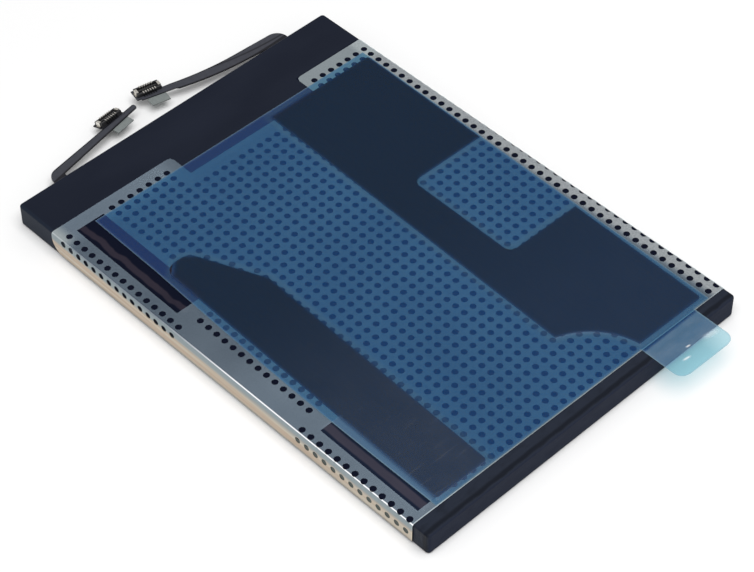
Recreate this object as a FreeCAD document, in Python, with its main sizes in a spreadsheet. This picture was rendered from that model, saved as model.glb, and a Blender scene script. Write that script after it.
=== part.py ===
import FreeCAD, Part
import math
import os
import Sketcher

# A slim lithium-polymer phone battery, lying on its label side with the glue side up.
# Units are millimetres. The origin is near the middle of the underside, +Z is up, and +Y points
# to the end with the two flex tails. The film, pads and liner were laid on by hand, a little askew.

SIZES = {
    # sealed pouch with its thin sealing terrace at the tail end
    "left_side": -31.35,
    "right_side": 31.9,
    "tab_face_y": -43.92,
    "tail_face_y": 44.2,
    "cell_height": 3.95,
    "edge_radius": 0.35,
    "plan_corner": 0.6,
    "shoulder_y": 30.0,
    "head_face_y": 39.8,
    "terrace_width": 54.0,
    "terrace_depth": 3.4,
    "terrace_thickness": 0.3,
    "terrace_bottom": 0.7,
    # tape cap round the tail end
    "wrap_thickness": 0.1,
    "slit_clearance": 0.05,
    # protection board and what is soldered to it
    "pad_under_board": 0.2,
    "board_width": 52.0,
    "board_depth": 2.8,
    "board_thickness": 0.6,
    "board_corner": 0.4,
    "board_gap": 0.3,
    "switch_length": 2.4,
    "switch_depth": 1.8,
    "switch_height": 0.65,
    "switch_pitch": 3.2,
    "switch_start_x": 11.0,
    "monitor_length": 1.8,
    "monitor_depth": 1.4,
    "monitor_height": 0.55,
    "passive_length": 1.0,
    "passive_depth": 0.5,
    "passive_height": 0.45,
    "passive_pitch": 1.5,
    "passive_start_x": -18.5,
    # lead strips that fold from the terrace back onto the board
    "lead_width": 4.0,
    "lead_foil": 0.1,
    "lead_x": 7.0,
    "lead_reach": 0.35,
    "lead_lap": 1.4,
    # flex tails
    "flex_thickness": 0.2,
    "flex_lap": 2.3,
    "flex_bend_out": 2.1,
    "flex_bend_in": 0.5,
    "flex_tip_round": 0.35,
    "left_root_out": -23.25,
    "left_root_in": -20.9,
    "left_out_root_y": 47.66,
    "left_in_root_y": 46.29,
    "left_tip_x": -3.1,
    "left_out_tip_y": 50.92,
    "left_in_tip_y": 49.95,
    "right_root_out": 25.4,
    "right_root_in": 21.3,
    "right_out_root_y": 47.95,
    "right_in_root_y": 45.72,
    "right_bend_x": 17.4,
    "right_out_bend_y": 48.38,
    "right_in_bend_y": 46.16,
    "right_bend_radius": 53.0,
    "right_out_end_x": 4.2,
    "right_out_end_y": 50.48,
    "right_step_x": 4.7,
    "right_step_y": 48.65,
    "right_step_run": 0.4,
    "right_step_rise": 0.4,
    "right_tip_x": -1.4,
    "right_out_tip_y": 51.75,
    "right_in_tip_y": 50.6,
    # connectors, their paddles on the flex and the stiffeners below
    "plug_length": 4.3,
    "plug_depth": 1.7,
    "plug_height": 0.67,
    "plug_wall": 0.3,
    "plug_floor": 0.2,
    "plug_edge": 0.06,
    "plug_key": 0.24,
    "contact_foil": 0.08,
    "contact_width": 0.17,
    "contact_pitch": 0.42,
    "contact_count": 6,
    "contact_foot": 0.24,
    "terminal_width": 0.9,
    "paddle_margin": 0.3,
    "paddle_inset": 0.35,
    "left_plug_x": -8.0,
    "left_plug_y": 51.14,
    "left_plug_turn": 5.0,
    "left_plug_tilt": 18.0,
    "right_plug_x": 0.6,
    "right_plug_y": 51.75,
    "right_plug_turn": -12.0,
    "right_plug_tilt": 0.0,
    "stiffener_thickness": 0.2,
    "left_stiffener_x": -7.1,
    "left_stiffener_y": 47.9,
    "left_stiffener_turn": 10.0,
    "left_stiffener_length": 3.7,
    "left_stiffener_depth": 2.05,
    "right_stiffener_x": 0.64,
    "right_stiffener_y": 48.3,
    "right_stiffener_turn": -13.0,
    "right_stiffener_length": 3.2,
    "right_stiffener_depth": 4.0,
    # punched wrap film, folded down over both long edges
    "lean": -0.7,
    "film_thickness": 0.1,
    "film_rough_top": 37.5,
    "film_rough_length": 80.5,
    "film_hem": 0.3,
    "film_top": 35.7,
    "film_notch": 30.9,
    "film_bottom": -41.35,
    "film_notch_left": -8.55,
    "film_notch_right": 17.5,
    "film_corner": 0.8,
    "wing_round": 2.7,
    "window_left": -28.9,
    "window_width": 5.1,
    "upper_window_top": 33.3,
    "upper_window_bottom": 10.05,
    "lower_window_top": -20.6,
    "lower_window_bottom": -40.1,
    "punch_diameter": 1.1,
    "punch_pitch": 1.8,
    "outer_upper_x": -30.53,
    "outer_upper_y": 33.05,
    "outer_upper_count": 15,
    "outer_lower_x": -29.93,
    "outer_lower_y": -18.7,
    "outer_lower_count": 13,
    "inner_column_x": -27.4,
    "inner_column_y": 6.8,
    "inner_count": 14,
    "right_column_x": 30.15,
    "right_column_y": 33.5,
    "right_count": 42,
    "row_y": 33.4,
    "left_row_x": -22.05,
    "left_row_count": 7,
    "right_row_x": 19.37,
    "right_row_count": 6,
    "side_lean": 1.3,
    "side_column_y": -18.15,
    "side_column_z": 2.65,
    "side_pitch": 1.79,
    "side_count": 13,
    # tan backing strip between the pouch and the left wing
    "strip_thickness": 0.08,
    "strip_bottom": 0.4,
    "strip_height": 1.9,
    "strip_top_y": 33.4,
    "strip_length": 74.2,
    # adhesive pads
    "glue_thickness": 0.1,
    "glue_bottom": -40.3,
    "left_glue_left_top": -24.7,
    "left_glue_left_bottom": -25.55,
    "left_glue_top": 18.1,
    "left_glue_slope_x": -20.1,
    "left_glue_waist_x": -14.65,
    "left_glue_waist_y": 6.0,
    "left_glue_right_bottom": -15.75,
    "left_glue_round": 2.2,
    "glue_corner": 0.6,
    "right_glue_left_top": 8.6,
    "right_glue_left_bottom": 7.35,
    "right_glue_top": 31.6,
    "right_glue_right_top": 29.35,
    "right_glue_right_bottom": 28.4,
    "bay_top": 5.98,
    "bay_bottom": -14.75,
    "bay_left": 14.8,
    "bay_corner": 1.3,
    "scoop_y": -31.1,
    "scoop_x": 15.3,
    "scoop_radius": 11.6,
    # release liner with its pull tab
    "liner_thickness": 0.08,
    "liner_top": 32.95,
    "liner_bottom": -41.2,
    "liner_left_top": -25.7,
    "liner_left_bottom": -26.4,
    "liner_right_top": 29.45,
    "liner_right_bottom": 29.15,
    "liner_corner": 0.5,
    "tab_left": 14.55,
    "tab_right": 26.0,
    "tab_end": -49.1,
    "tab_corner": 1.7,
}

doc = FreeCAD.newDocument("phone_battery")
sheet = doc.addObject("Spreadsheet::Sheet", "sizes")
for row, (name, number) in enumerate(SIZES.items(), start=1):
    sheet.set(f"A{row}", name)
    sheet.set(f"B{row}", str(number))
    sheet.setAlias(f"B{row}", name)
doc.recompute()


class Size:
    """A length or angle: its number, and the expression on the sheet that gives it."""

    def __init__(self, number, text):
        self.number = number
        self.text = text

    def __add__(self, other):
        other = size_of(other)
        return Size(self.number + other.number, f"({self.text} + {other.text})")

    def __sub__(self, other):
        other = size_of(other)
        return Size(self.number - other.number, f"({self.text} - {other.text})")

    def __mul__(self, factor):
        return Size(self.number * factor, f"({self.text} * {factor})")

    def __truediv__(self, divisor):
        return Size(self.number / divisor, f"({self.text} / {divisor})")

    def __neg__(self):
        return Size(-self.number, f"(0 - {self.text})")


def size_of(value):
    """A value as a Size: a cell's name, a plain number or a Size."""
    if isinstance(value, Size):
        return value
    if isinstance(value, str):
        return Size(float(sheet.get(value)), f"sizes.{value}")
    return Size(float(value), str(value))


def bind(thing, prop, value):
    """Ties a property to the sheet."""
    thing.setExpression(prop, size_of(value).text)


SUBPARTS = []


def new_body(label):
    """An empty body that becomes one node."""
    body = doc.addObject("PartDesign::Body", label)
    body.Label = label
    SUBPARTS.append(body)
    return body


def new_sketch(body, name, role, lift=0, turn=0):
    """A sketch on one of the body's origin planes, lifted off it and turned in it."""
    plane = next(f for f in body.Origin.OriginFeatures if f.Role == role)
    sketch = body.newObject("Sketcher::SketchObject", f"{body.Label}_{name}")
    sketch.AttachmentSupport = (plane, [""])
    sketch.MapMode = "FlatFace"
    upward = FreeCAD.Vector(0, 0, 1)
    spin = FreeCAD.Rotation(upward, size_of(turn).number)
    sketch.AttachmentOffset = FreeCAD.Placement(upward * size_of(lift).number, spin)
    if lift != 0:
        bind(sketch, "AttachmentOffset.Base.z", lift)
    if turn != 0:
        bind(sketch, "AttachmentOffset.Rotation.Angle", turn)
    return sketch


def fix_point(sketch, edge, end, x, y):
    """Holds one end of an edge at a place that the sheet gives."""
    for kind, value in (("DistanceX", x), ("DistanceY", y)):
        value = size_of(value)
        index = sketch.addConstraint(Sketcher.Constraint(kind, -1, 1, edge, end, value.number))
        bind(sketch, f"Constraints[{index}]", value)


def arc_middle(start, end, radius):
    """The middle of the shorter arc from start to end; a positive radius bulges to the left."""
    chord = end - start
    side = FreeCAD.Vector(-chord.y, chord.x, 0).normalize()
    half = chord.Length / 2
    rise = abs(radius) - (radius * radius - half * half) ** 0.5
    return (start + end) / 2 + side * (rise if radius > 0 else -rise)


def draw_outline(sketch, corners):
    """A closed outline: a corner is x, y, and a third value gives the radius of an arc to the next."""
    sized = [tuple(size_of(value) for value in corner) for corner in corners]
    spots = [FreeCAD.Vector(c[0].number, c[1].number, 0) for c in sized]
    ends = []
    for i, corner in enumerate(sized):
        start, end = spots[i], spots[(i + 1) % len(spots)]
        if len(corner) == 2:
            edge = sketch.addGeometry(Part.LineSegment(start, end), False)
            ends.append((edge, 1, 2))
            continue
        middle = arc_middle(start, end, corner[2].number)
        edge = sketch.addGeometry(Part.Arc(start, middle, end), False)
        forward = sketch.getPoint(edge, 1).isEqual(start, 1e-6)
        ends.append((edge, 1, 2) if forward else (edge, 2, 1))
    for i, (edge, head, tail) in enumerate(ends):
        following, next_head, _ = ends[(i + 1) % len(ends)]
        sketch.addConstraint(Sketcher.Constraint("Coincident", edge, tail, following, next_head))
        fix_point(sketch, edge, head, *sized[i][:2])
        if len(sized[i]) == 3:
            radius = sized[i][2]
            radius = radius if radius.number > 0 else -radius
            index = sketch.addConstraint(Sketcher.Constraint("Radius", edge, radius.number))
            bind(sketch, f"Constraints[{index}]", radius)


def draw_box(sketch, left, bottom, right, top):
    """A rectangular outline between two corners."""
    draw_outline(sketch, [(left, bottom), (right, bottom), (right, top), (left, top)])


def draw_punch(sketch, x, y, diameter, sides=8):
    """A small round punch, drawn as a regular polygon about a centre."""
    x, y, radius = size_of(x), size_of(y), size_of(diameter) / 2
    corners = []
    for i in range(sides):
        angle = 2 * math.pi * (i + 0.5) / sides
        across, along = round(math.cos(angle), 6), round(math.sin(angle), 6)
        corners.append((x + radius * across, y + radius * along))
    draw_outline(sketch, corners)


def add_pad(body, sketch, length):
    """Material raised from a sketch along its normal."""
    pad = body.newObject("PartDesign::Pad", f"{sketch.Label}_pad")
    pad.Profile = sketch
    bind(pad, "Length", length)
    doc.recompute()
    return pad


def add_cut(body, sketch, forward=True, depth=None):
    """A cut from a sketch to one side of it, through everything or to a given depth."""
    before = body.Shape.Volume
    cut = body.newObject("PartDesign::Pocket", f"{sketch.Label}_cut")
    cut.Profile = sketch
    cut.Reversed = forward
    if depth is None:
        cut.Type = "ThroughAll"
    else:
        bind(cut, "Length", depth)
    doc.recompute()
    if body.Shape.Volume > before - 1e-6:
        raise RuntimeError(f"{cut.Label} removes nothing")
    return cut


def add_row(body, feature, sketch, axis, count, pitch, backward=False):
    """Repeats a feature along one axis of its sketch."""
    row = body.newObject("PartDesign::LinearPattern", f"{feature.Label}_row")
    row.Originals = [feature]
    row.Direction = (sketch, [axis])
    row.Mode = "Spacing"
    row.Reversed = backward
    bind(row, "Offset", pitch)
    bind(row, "Occurrences", count)
    body.Tip = row
    doc.recompute()
    return row


def add_fillet(body, edges, radius):
    """Rounds edges of the body's latest feature."""
    fillet = body.newObject("PartDesign::Fillet", f"{body.Label}_round")
    fillet.Base = (fillet.BaseFeature, edges)
    bind(fillet, "Radius", radius)
    doc.recompute()
    return fillet


def edges_where(body, test):
    """Names of the body's edges whose two ends and middle all pass a test."""
    names = []
    for number, edge in enumerate(body.Shape.Edges, start=1):
        middle = edge.valueAt((edge.FirstParameter + edge.LastParameter) / 2)
        points = [vertex.Point for vertex in edge.Vertexes] + [middle]
        local = [body.Placement.inverse().multVec(p) for p in points]
        if all(test(p) for p in local):
            names.append(f"Edge{number}")
    return names


def upright_at(body, x, y):
    """Names of the upright edges over one plan corner."""
    x, y = size_of(x).number, size_of(y).number
    return edges_where(body, lambda p: abs(p.x - x) < 1e-3 and abs(p.y - y) < 1e-3)


def round_corners(body, corners, radius):
    """Rounds a plate's upright edges at the given plan corners."""
    names = []
    for x, y in corners:
        names += upright_at(body, x, y)
    return add_fillet(body, names, radius)


def place(thing, x=0, y=0, z=0, turn=0, tilt=0):
    """Puts a sub-part in place: tilted about its own X, then turned about Z."""
    spot = [size_of(value).number for value in (x, y, z)]
    turned = FreeCAD.Rotation(FreeCAD.Vector(0, 0, 1), size_of(turn).number)
    tilted = FreeCAD.Rotation(FreeCAD.Vector(1, 0, 0), size_of(tilt).number)
    thing.Placement = FreeCAD.Placement(FreeCAD.Vector(*spot), turned * tilted)


left_side, right_side = size_of("left_side"), size_of("right_side")
cell_top = size_of("cell_height")
terrace_top = size_of("terrace_bottom") + "terrace_thickness"
board_bottom = terrace_top + "pad_under_board"
board_top = board_bottom + "board_thickness"
board_near = size_of("head_face_y") + "board_gap"
board_far = board_near + "board_depth"
flex_top = board_top + "flex_thickness"
film_top_z = cell_top + "film_thickness"
glue_top = film_top_z + "glue_thickness"


def add_soft_block(body, joint_y, end_y):
    """A block from a flat joint to a free end, with soft edges everywhere but at the joint."""
    joint, end = size_of(joint_y), size_of(end_y)
    low, high = (joint, end) if end.number > joint.number else (end, joint)
    plan = new_sketch(body, "plan", "XY_Plane")
    draw_box(plan, left_side, low, right_side, high)
    add_pad(body, plan, "cell_height")
    round_corners(body, [(left_side, end), (right_side, end)], "plan_corner")
    for level in (0, cell_top.number):
        rim = edges_where(body, lambda p, z=level: abs(p.z - z) < 1e-6)
        sharp = edges_where(body, lambda p: abs(p.y - joint.number) < 1e-6)
        add_fillet(body, [name for name in rim if name not in sharp], "edge_radius")


def make_pouch():
    """Sealed pouch: a soft-edged block, a set-back head for the tape cap, and the sealing terrace."""
    body = new_body("pouch_cell")
    add_soft_block(body, "shoulder_y", "tab_face_y")

    inset = size_of("wrap_thickness")
    soft = size_of("edge_radius") - inset
    left, right, high = left_side + inset, right_side - inset, cell_top - inset
    head = new_sketch(body, "head", "XZ_Plane", lift=-size_of("head_face_y"))
    draw_outline(head, [
        (left + soft, inset),
        (right - soft, inset, -soft),
        (right, inset + soft),
        (right, high - soft, -soft),
        (right - soft, high),
        (left + soft, high, -soft),
        (left, high - soft),
        (left, inset + soft, -soft),
    ])
    add_pad(body, head, size_of("head_face_y") - "shoulder_y")

    terrace = new_sketch(body, "terrace", "XY_Plane", lift="terrace_bottom")
    half_terrace = size_of("terrace_width") / 2
    terrace_end = size_of("head_face_y") + "terrace_depth"
    draw_box(terrace, -half_terrace, "head_face_y", half_terrace, terrace_end)
    add_pad(body, terrace, "terrace_thickness")


def make_head_wrap():
    """Black tape folded into a cap over the head, open towards the pouch, with a slit for each tail."""
    body = new_body("head_wrap")
    add_soft_block(body, "shoulder_y", "tail_face_y")
    shoulder = size_of("shoulder_y").number
    open_face = [
        f"Face{i}"
        for i, face in enumerate(body.Shape.Faces, start=1)
        if abs(face.CenterOfMass.y - shoulder) < 1e-6
    ]
    shell = body.newObject("PartDesign::Thickness", "head_wrap_shell")
    shell.Base = (shell.BaseFeature, open_face)
    bind(shell, "Value", "wrap_thickness")
    shell.Reversed = True
    doc.recompute()

    inside = size_of("tail_face_y") - size_of("wrap_thickness") * 3
    for side in ("left", "right"):
        slit = new_sketch(body, f"{side}_slit", "XZ_Plane", lift=-inside)
        out, inner = size_of(f"{side}_root_out"), size_of(f"{side}_root_in")
        low, high = (out, inner) if out.number < inner.number else (inner, out)
        play = size_of("slit_clearance")
        draw_box(slit, low - play, board_top - play, high + play, flex_top + play)
        add_cut(body, slit, forward=False)


def make_board():
    """Protection board on its insulating pad, laid on the terrace."""
    half = size_of("board_width") / 2
    pad = doc.addObject("Part::Box", "insulating_pad")
    pad.Label = "insulating_pad"
    bind(pad, "Length", "board_width")
    bind(pad, "Width", "board_depth")
    bind(pad, "Height", "pad_under_board")
    place(pad, -half, board_near, terrace_top)
    SUBPARTS.append(pad)

    board = new_body("protection_board")
    plate = new_sketch(board, "plate", "XY_Plane", lift=board_bottom)
    draw_box(plate, -half, board_near, half, board_far)
    add_pad(board, plate, "board_thickness")
    corners = [(x, y) for x in (-half, half) for y in (board_near, board_far)]
    round_corners(board, corners, "board_corner")


def make_chips(label, count, start_x, pitch, kind):
    """A row of like chips soldered along the middle of the board, as one group."""
    row_y = board_near + size_of("board_depth") / 2
    chips = []
    for i in range(count):
        chip = doc.addObject("Part::Box", f"{label}_{i + 1}")
        bind(chip, "Length", f"{kind}_length")
        bind(chip, "Width", f"{kind}_depth")
        bind(chip, "Height", f"{kind}_height")
        left = size_of(start_x) + size_of(pitch) * i
        place(chip, left, row_y - size_of(f"{kind}_depth") / 2, board_top)
        chips.append(chip)
    group = doc.addObject("Part::Compound", label)
    group.Label = label
    group.Links = chips
    SUBPARTS.append(group)


def make_lead(label, centre_x):
    """A lead strip that leaves the terrace, folds up and laps back over the board."""
    body = new_body(label)
    foil = size_of("lead_foil")
    terrace_end = size_of("head_face_y") + "terrace_depth"
    outside = terrace_end + "lead_reach"
    low = size_of("terrace_bottom") + foil
    lap_end = outside - foil - "lead_lap"
    start = size_of(centre_x) - size_of("lead_width") / 2
    profile = new_sketch(body, "profile", "YZ_Plane", lift=start)
    fold = [
        (terrace_end, low),
        (outside, low),
        (outside, board_top + foil),
        (lap_end, board_top + foil),
        (lap_end, board_top),
        (outside - foil, board_top),
        (outside - foil, low + foil),
        (terrace_end, low + foil),
    ]
    draw_outline(profile, fold)
    add_pad(body, profile, "lead_width")
    creases = [(outside, low), (outside, board_top + foil)]
    names = []
    for y, z in creases:
        spot = (y.number, z.number)
        names += edges_where(body, lambda p, s=spot: abs(p.y - s[0]) + abs(p.z - s[1]) < 1e-3)
    add_fillet(body, names, foil * 0.8)


def add_paddle(body, side):
    """The flap of the flex that carries the connector, bent down along the strip's outer edge."""
    paddle = new_sketch(body, "paddle", "XY_Plane")
    margin = size_of("paddle_margin")
    half = size_of("plug_length") / 2 + margin
    near = size_of("plug_depth") / 2 + "paddle_inset"
    far = size_of("plug_depth") / 2 + margin
    draw_box(paddle, -half, -near, half, far)
    turned = FreeCAD.Rotation(FreeCAD.Vector(0, 0, 1), size_of(f"{side}_plug_turn").number)
    tilted = FreeCAD.Rotation(FreeCAD.Vector(1, 0, 0), -size_of(f"{side}_plug_tilt").number)
    spot = plug_seat(side) - (turned * tilted).multVec(FreeCAD.Vector(0, 0, SIZES["flex_thickness"]))
    paddle.AttachmentOffset = FreeCAD.Placement(spot, turned * tilted)
    add_pad(body, paddle, "flex_thickness")


def plug_seat(side):
    """The middle of the connector's base: its near edge stays at the flex's level, the rest tilts."""
    tilt = FreeCAD.Rotation(FreeCAD.Vector(1, 0, 0), -size_of(f"{side}_plug_tilt").number)
    near = FreeCAD.Vector(0, -SIZES["plug_depth"] / 2, 0)
    turn = FreeCAD.Rotation(FreeCAD.Vector(0, 0, 1), size_of(f"{side}_plug_turn").number)
    flat = FreeCAD.Vector(SIZES[f"{side}_plug_x"], SIZES[f"{side}_plug_y"], flex_top.number)
    return flat + turn.multVec(near - tilt.multVec(near))


def make_left_flex():
    """Left tail: a die-cut strip that turns towards the middle and runs on past its connector."""
    body = new_body("flex_left")
    strip = new_sketch(body, "strip", "XY_Plane", lift=board_top)
    root = board_far - "flex_lap"
    draw_outline(strip, [
        ("left_root_out", root),
        ("left_root_in", root),
        ("left_root_in", "left_in_root_y"),
        ("left_tip_x", "left_in_tip_y"),
        ("left_tip_x", "left_out_tip_y"),
        ("left_root_out", "left_out_root_y"),
    ])
    add_pad(body, strip, "flex_thickness")
    round_corners(body, [("left_root_out", "left_out_root_y")], "flex_bend_out")
    round_corners(body, [("left_root_in", "left_in_root_y")], "flex_bend_in")
    tips = [("left_tip_x", "left_in_tip_y"), ("left_tip_x", "left_out_tip_y")]
    round_corners(body, tips, "flex_tip_round")
    add_paddle(body, "left")


def make_right_flex():
    """Right tail: a wider strip that curves towards the middle and narrows in a step by its connector."""
    body = new_body("flex_right")
    strip = new_sketch(body, "strip", "XY_Plane", lift=board_top)
    root = board_far - "flex_lap"
    bend = size_of("right_bend_radius")
    step_x = size_of("right_step_x") - "right_step_run"
    step_y = size_of("right_step_y") + "right_step_rise"
    draw_outline(strip, [
        ("right_root_in", root),
        ("right_root_out", root),
        ("right_root_out", "right_out_root_y"),
        ("right_bend_x", "right_out_bend_y", bend),
        ("right_out_end_x", "right_out_end_y"),
        ("right_tip_x", "right_out_tip_y"),
        ("right_tip_x", "right_in_tip_y"),
        (step_x, step_y),
        ("right_step_x", "right_step_y", -bend),
        ("right_bend_x", "right_in_bend_y"),
        ("right_root_in", "right_in_root_y"),
    ])
    add_pad(body, strip, "flex_thickness")
    round_corners(body, [("right_root_out", "right_out_root_y")], "flex_bend_out")
    round_corners(body, [("right_root_in", "right_in_root_y")], "flex_bend_in")
    add_paddle(body, "right")


def make_stiffener(side):
    """A small plate bonded under the strip behind the connector."""
    plate = doc.addObject("Part::Box", f"stiffener_{side}")
    plate.Label = f"stiffener_{side}"
    bind(plate, "Length", f"{side}_stiffener_length")
    bind(plate, "Width", f"{side}_stiffener_depth")
    bind(plate, "Height", "stiffener_thickness")
    turn = FreeCAD.Rotation(FreeCAD.Vector(0, 0, 1), SIZES[f"{side}_stiffener_turn"])
    middle = FreeCAD.Vector(SIZES[f"{side}_stiffener_x"], SIZES[f"{side}_stiffener_y"], 0)
    corner = middle - turn.multVec(FreeCAD.Vector(SIZES[f"{side}_stiffener_length"] / 2, 0, 0))
    below = board_top - "stiffener_thickness"
    place(plate, corner.x, corner.y, below, f"{side}_stiffener_turn")
    SUBPARTS.append(plate)


def seat_on_flex(body, side):
    """Sets a connector piece, drawn about its base's middle, on its paddle."""
    seat = plug_seat(side)
    place(body, seat.x, seat.y, seat.z, f"{side}_plug_turn", -size_of(f"{side}_plug_tilt"))


def make_housing(side):
    """Connector housing: a moulded tray with a key bar down its middle."""
    body = new_body(f"connector_{side}")
    half_long = size_of("plug_length") / 2
    half_deep = size_of("plug_depth") / 2
    wall = size_of("plug_wall")
    block = new_sketch(body, "block", "XY_Plane")
    draw_box(block, -half_long, -half_deep, half_long, half_deep)
    add_pad(body, block, "plug_height")
    height = SIZES["plug_height"]
    rim = edges_where(body, lambda p: abs(p.z - height) < 1e-6)
    add_fillet(body, rim, "plug_edge")
    well = new_sketch(body, "well", "XY_Plane", lift="plug_floor")
    draw_box(well, wall - half_long, wall - half_deep, half_long - wall, half_deep - wall)
    add_cut(body, well)
    bar = new_sketch(body, "bar", "XY_Plane")
    half_key = size_of("plug_key") / 2
    bar_end = half_long - wall * 2
    draw_box(bar, -bar_end, -half_key, bar_end, half_key)
    add_pad(body, bar, size_of("plug_height") - "plug_edge")
    seat_on_flex(body, side)


def clip_profile(inner, outer, foot):
    """A metal clip over a wall, in the wall's cross-section: down inside, over the top, out to a foot."""
    foil = size_of("contact_foil")
    crown = size_of("plug_height") + foil
    inside_low = size_of("plug_floor") + foil
    return [
        (inner - foil, inside_low),
        (inner, inside_low),
        (inner, "plug_height"),
        (outer, "plug_height"),
        (outer, 0),
        (outer + foil + foot, 0),
        (outer + foil + foot, foil),
        (outer + foil, foil),
        (outer + foil, crown),
        (inner - foil, crown),
    ]


def make_contacts(side):
    """Signal contacts: two facing rows of bent clips over the housing's long walls."""
    body = new_body(f"signal_contacts_{side}")
    body.AllowCompound = True
    outer = size_of("plug_depth") / 2
    inner = outer - "plug_wall"
    pitch = size_of("contact_pitch")
    first_x = -pitch * ((SIZES["contact_count"] - 1) / 2) - size_of("contact_width") / 2
    shape = clip_profile(inner, outer, size_of("contact_foot"))
    for name, sign in (("far", 1), ("near", -1)):
        profile = new_sketch(body, f"{name}_profile", "YZ_Plane", lift=first_x)
        draw_outline(profile, [(size_of(y) * sign, z) for y, z in shape])
        clip = add_pad(body, profile, "contact_width")
        add_row(body, clip, profile, "N_Axis", "contact_count", pitch)
    seat_on_flex(body, side)


def make_terminals(side):
    """Power terminals: one wide clip over each end wall of the housing."""
    body = new_body(f"power_contacts_{side}")
    body.AllowCompound = True
    outer = size_of("plug_length") / 2
    inner = outer - "plug_wall"
    start = -size_of("terminal_width") / 2
    shape = clip_profile(inner, outer, size_of("contact_foot") / 2)
    for name, sign in (("first", 1), ("second", -1)):
        profile = new_sketch(body, f"{name}_profile", "XZ_Plane", lift=start)
        draw_outline(profile, [(size_of(x) * sign, z) for x, z in shape])
        add_pad(body, profile, "terminal_width")
    seat_on_flex(body, side)


def punch_top(body, name, x, y, axis, count, backward):
    """One hole punched through the film's top and fold, repeated along an axis of the leaning grid."""
    fold_start = cell_top - "edge_radius" - "strip_thickness"
    sketch = new_sketch(body, name, "XY_Plane", lift=fold_start, turn="lean")
    draw_punch(sketch, x, y, "punch_diameter")
    hole = add_cut(body, sketch)
    add_row(body, hole, sketch, axis, count, "punch_pitch", backward)


def punch_wing(body):
    """The column of holes down the near half of the left wing, which slowly sinks away from the fold."""
    inside = left_side + "edge_radius"
    sketch = new_sketch(body, "wing_column", "YZ_Plane", lift=inside, turn="side_lean")
    draw_punch(sketch, "side_column_y", "side_column_z", "punch_diameter")
    hole = add_cut(body, sketch, forward=False, depth=size_of("edge_radius") * 3)
    add_row(body, hole, sketch, "H_Axis", "side_count", "side_pitch", backward=True)


def on_leaning_grid(x, y):
    """Where a corner of the leaning grid falls on the battery."""
    turned = FreeCAD.Rotation(FreeCAD.Vector(0, 0, 1), SIZES["lean"])
    spot = turned.multVec(FreeCAD.Vector(SIZES[x], SIZES[y], 0))
    return spot.x, spot.y


def make_film():
    """Clear wrap film: folded over both long edges, die-cut at both ends, with windows and punched rows."""
    body = new_body("perforated_film")
    film, gap = size_of("film_thickness"), size_of("strip_thickness")
    soft = size_of("edge_radius")
    flat_left, flat_right = left_side + soft, right_side - soft
    left_in, left_out = left_side - gap, left_side - gap - film
    right_in, right_out = right_side, right_side + film
    left_low, right_low = cell_top - soft - gap, cell_top - soft
    section = new_sketch(body, "section", "XZ_Plane", lift=-size_of("film_rough_top"))
    draw_outline(section, [
        (left_out, "film_hem"),
        (left_out, left_low, soft + gap + film),
        (flat_left, film_top_z),
        (flat_right, film_top_z, soft + film),
        (right_out, right_low),
        (right_out, "film_hem"),
        (right_in, "film_hem"),
        (right_in, right_low, -soft),
        (flat_right, cell_top),
        (flat_left, cell_top, -(soft + gap)),
        (left_in, left_low),
        (left_in, "film_hem"),
    ])
    add_pad(body, section, "film_rough_length")

    beyond = size_of("tail_face_y") + 10
    aside = right_side + 10
    tail_trim = new_sketch(body, "tail_trim", "XY_Plane", turn="lean")
    draw_outline(tail_trim, [
        (-aside, "film_top"),
        ("film_notch_left", "film_top"),
        ("film_notch_left", "film_notch"),
        ("film_notch_right", "film_notch"),
        ("film_notch_right", "film_top"),
        (aside, "film_top"),
        (aside, beyond),
        (-aside, beyond),
    ])
    add_cut(body, tail_trim)
    tab_trim = new_sketch(body, "tab_trim", "XY_Plane", turn="lean")
    draw_box(tab_trim, -aside, -beyond, aside, "film_bottom")
    add_cut(body, tab_trim)

    window_right = size_of("window_left") + "window_width"
    for name in ("upper_window", "lower_window"):
        window = new_sketch(body, name, "XY_Plane", turn="lean")
        draw_box(window, "window_left", f"{name}_bottom", window_right, f"{name}_top")
        add_cut(body, window)

    tongues = [("film_notch_left", "film_top"), ("film_notch_right", "film_top")]
    round_corners(body, [on_leaning_grid(x, y) for x, y in tongues], "film_corner")
    hem, side = SIZES["film_hem"], left_in.number
    wing_end = edges_where(body, lambda p: abs(p.z - hem) < 1e-6 and p.x < side + 1e-6 and p.y > 30)
    add_fillet(body, wing_end, "wing_round")

    columns = (
        ("outer_upper", "outer_upper_x", "outer_upper_y", "outer_upper_count"),
        ("outer_lower", "outer_lower_x", "outer_lower_y", "outer_lower_count"),
        ("inner", "inner_column_x", "inner_column_y", "inner_count"),
        ("right", "right_column_x", "right_column_y", "right_count"),
    )
    for name, x, y, count in columns:
        punch_top(body, name, x, y, "V_Axis", count, backward=True)
    for name in ("left_row", "right_row"):
        punch_top(body, name, f"{name}_x", "row_y", "H_Axis", f"{name}_count", backward=False)
    punch_wing(body)


def make_side_strip():
    """Tan backing strip held between the pouch's left side and the film's wing."""
    strip = doc.addObject("Part::Box", "side_strip")
    strip.Label = "side_strip"
    bind(strip, "Length", "strip_thickness")
    bind(strip, "Width", "strip_length")
    bind(strip, "Height", "strip_height")
    low_y = size_of("strip_top_y") - "strip_length"
    place(strip, left_side - "strip_thickness", low_y, "strip_bottom")
    SUBPARTS.append(strip)


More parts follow.
